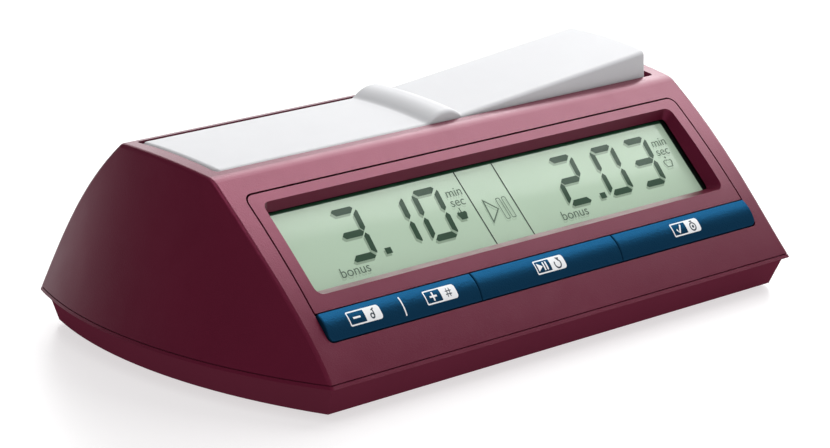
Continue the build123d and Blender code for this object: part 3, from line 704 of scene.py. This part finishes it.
DIGIT_S = 36.4
POINT_LOW, POINT_HIGH = 36.6, 38.6
bold = []
for character, x in (("3", -68.5), ("1", -49.0), ("0", -33.4), ("2", 28.9), ("0", 48.8), ("3", 65.1)):
    bold += digit(character, x, DIGIT_S)
bold += [[(x - 1.4, POINT_LOW), (x + 1.2, POINT_LOW), (x + 1.4, POINT_HIGH), (x - 1.2, POINT_HIGH)]
         for x in (-52.3, 45.5)]


def crown_outline(x, s, scale):
    """A small crown: straight foot, flared sides and lobed top."""
    points = [(-1.6, -1.7), (1.6, -1.7), (1.75, -1.0), (2.3, 0.1)]
    points += arc(1.55, 0.55, 0.85, -15, 150, 8) + arc(0, 0.75, 0.75, 30, 150, 6)
    points += arc(-1.55, 0.55, 0.85, 30, 195, 8) + [(-2.3, 0.1), (-1.75, -1.0)]
    return [(x + px * scale, s + py * scale) for px, py in points]


bold.append(crown_outline(-16.0, 42.7, 0.85))
bold.append(rounded(-16.2, 44.0, -15.8, 45.2, (0.18,) * 4))
faint = [[crown_outline(82.2, 42.8, 0.85), crown_outline(82.2, 42.8, 0.68)], [circle(82.2, 44.9, 0.38, 12)]]
faint.append([[(-5.1, 46.1), (-0.3, 41.9), (-5.9, 37.5)], [(-4.65, 45.1), (-0.95, 41.9), (-5.25, 38.6)]])
for low_x in (0.35, 3.0):
    faint.append([rounded(low_x, 37.9, low_x + 1.9, 45.4, (0.6,) * 4),
                  rounded(low_x + 0.25, 38.15, low_x + 1.65, 45.15, (0.45,) * 4)])
WORDS = [("bonus", -75.3, 32.8, 4.5), ("bonus", 22.6, 32.8, 4.5), ("min", -18.2, 49.2, 4.3),
         ("sec", -18.4, 45.9, 4.3), ("min", 79.6, 49.2, 4.3), ("sec", 79.4, 45.9, 4.3)]


def slanted(mesh):
    """A word's mesh widened, and leaned like the digits."""
    for vertex in mesh.vertices:
        vertex.co.x = vertex.co.x * WORD_STRETCH + vertex.co.y * SLANT
    return mesh


def layer(name, material, depth, shift, shapes, texts):
    """All display marks of one tone at a depth, moved by shift."""
    parts = [(filled(group), *shift) for group in shapes]
    parts += [(slanted(lettering(text, size)), x + shift[0], s + shift[1]) for text, x, s, size in texts]
    return sheets(name, "housing", material, parts, lambda s: -depth)


bold_groups = [[outline] for outline in bold]
rules = [[[(x - RULE_HALF, FIELD_S[0]), (x + RULE_HALF, FIELD_S[0]), (x + RULE_HALF, FIELD_S[1]),
           (x - RULE_HALF, FIELD_S[1])]] for x in RULE_X]
layer("display_shadow", lcd_shadow, FIELD_DEPTH - SHADOW_LIFT, (-0.85, -0.75), bold_groups, [])
layer("display_digits", lcd_segment, FIELD_DEPTH - MARK_LIFT, (0, 0), bold_groups, [])
# painted shadow of the legends: the same shapes and words in a lighter shadow green, shifted down and left
# on the field
layer("display_legend_shadow", lcd_legend_shadow_paint, FIELD_DEPTH - SHADOW_LIFT, (-0.55, -0.8), faint, WORDS)
layer("display_legends", lcd_faint, FIELD_DEPTH - MARK_LIFT, (0, 0), faint, WORDS)
layer("display_rules", lcd_line, FIELD_DEPTH - MARK_LIFT, (0, 0), rules, [])

# ---- camera ------------------------------------------------------------------------------------------
AZIMUTH, ELEVATION, ROLL = radians(-48.88), radians(15.96), radians(3.4)
DISTANCE = 1.10556
TARGET = Vector((-0.00737, 0, 0.0266))
back = Vector((sin(AZIMUTH) * cos(ELEVATION), -cos(AZIMUTH) * cos(ELEVATION), sin(ELEVATION)))
side = (-back).cross(Vector((0, 0, 1))).normalized()
above = side.cross(-back)
right_axis = side * cos(ROLL) + above * sin(ROLL)
up_axis = above * cos(ROLL) - side * sin(ROLL)
camera_data = bpy.data.cameras.new("camera")
camera_data.lens = 158.65
camera_data.sensor_width = 36
camera_data.clip_start = 0.05
camera = bpy.data.objects.new("camera", camera_data)
bpy.context.scene.collection.objects.link(camera)
place = Matrix((right_axis, up_axis, back)).transposed().to_4x4()
place.translation = TARGET + back * DISTANCE
camera.matrix_world = place
bpy.context.scene.camera = camera

# ---- floor and light -----------------------------------------------------------------------------------
floor_mesh = bpy.data.meshes.new("floor")
floor_mesh.from_pydata([(-4, -4, 0), (4, -4, 0), (4, 4, 0), (-4, 4, 0)], [], [(0, 1, 2, 3)])
floor = bpy.data.objects.new("floor", floor_mesh)
bpy.context.scene.collection.objects.link(floor)
floor_material, _, floor_shader = new_material("floor_paper")
floor_shader.inputs["Base Color"].default_value = (0.3, 0.3, 0.3, 1)
floor_shader.inputs["Roughness"].default_value = 0.4
floor_shader.inputs["Emission Color"].default_value = (1.0, 0.985, 0.99, 1)
floor_shader.inputs["Emission Strength"].default_value = 0.65
floor_mesh.materials.append(floor_material)

world = bpy.data.worlds.new("studio")
bpy.context.scene.world = world
world.use_nodes = True
sky = world.node_tree
direction = sky.nodes.new("ShaderNodeTexCoord")
split = sky.nodes.new("ShaderNodeSeparateXYZ")
grade = sky.nodes.new("ShaderNodeMapRange")
grade.inputs["From Min"].default_value = -0.9
grade.inputs["From Max"].default_value = 0.9
grade.inputs["To Min"].default_value = 0.5
grade.inputs["To Max"].default_value = 0.1
sky.links.new(direction.outputs["Generated"], split.inputs["Vector"])
sky.links.new(split.outputs["Y"], grade.inputs["Value"])
sky.links.new(grade.outputs["Result"], sky.nodes["Background"].inputs["Strength"])
sky.nodes["Background"].inputs["Color"].default_value = (1.0, 0.99, 1.0, 1)


def softbox(name, corner, edge, across, size, radiance):
    """A rectangular soft light from a corner: size[0] long along edge and size[1] wide across it."""
    along = Vector(edge).normalized()
    over = Vector(across)
    over = (over - along * along.dot(over)).normalized()
    data = bpy.data.lights.new(name, "AREA")
    data.shape = "RECTANGLE"
    data.size, data.size_y = size
    data.energy = radiance * pi * size[0] * size[1]
    lamp = bpy.data.objects.new(name, data)
    bpy.context.scene.collection.objects.link(lamp)
    centre = Vector(corner) + along * size[0] / 2 + over * size[1] / 2
    facing = along.cross(over)
    if facing.dot(centre) < 0:
        over, facing = -over, -facing
    stand = Matrix((along, over, facing)).transposed().to_4x4()
    stand.translation = centre
    lamp.matrix_world = stand


# the key light's near edge runs along the slope of the display, so its mirror image crosses the window
softbox("key", (0.477, -0.366, 1.075), (0.70, 0.18, -0.69), (-0.13, 0.98, 0.13), (1.0, 0.85), 5.2)
softbox("overhead", (-0.7, -0.45, 1.1), (1, 0, 0), (0, 1, 0), (0.7, 0.6), 2.4)
softbox("back_left", (-1.1, 0.75, 0.35), (0.8, 0.6, 0), (0, 0.5, 0.8), (0.9, 0.5), 0.3)
softbox("back_right", (0.25, 1.15, 0.12), (0.8, -0.6, 0), (0.1, 0.2, 0.97), (1.1, 0.95), 2.0)

bpy.context.scene.view_settings.view_transform = "Standard"
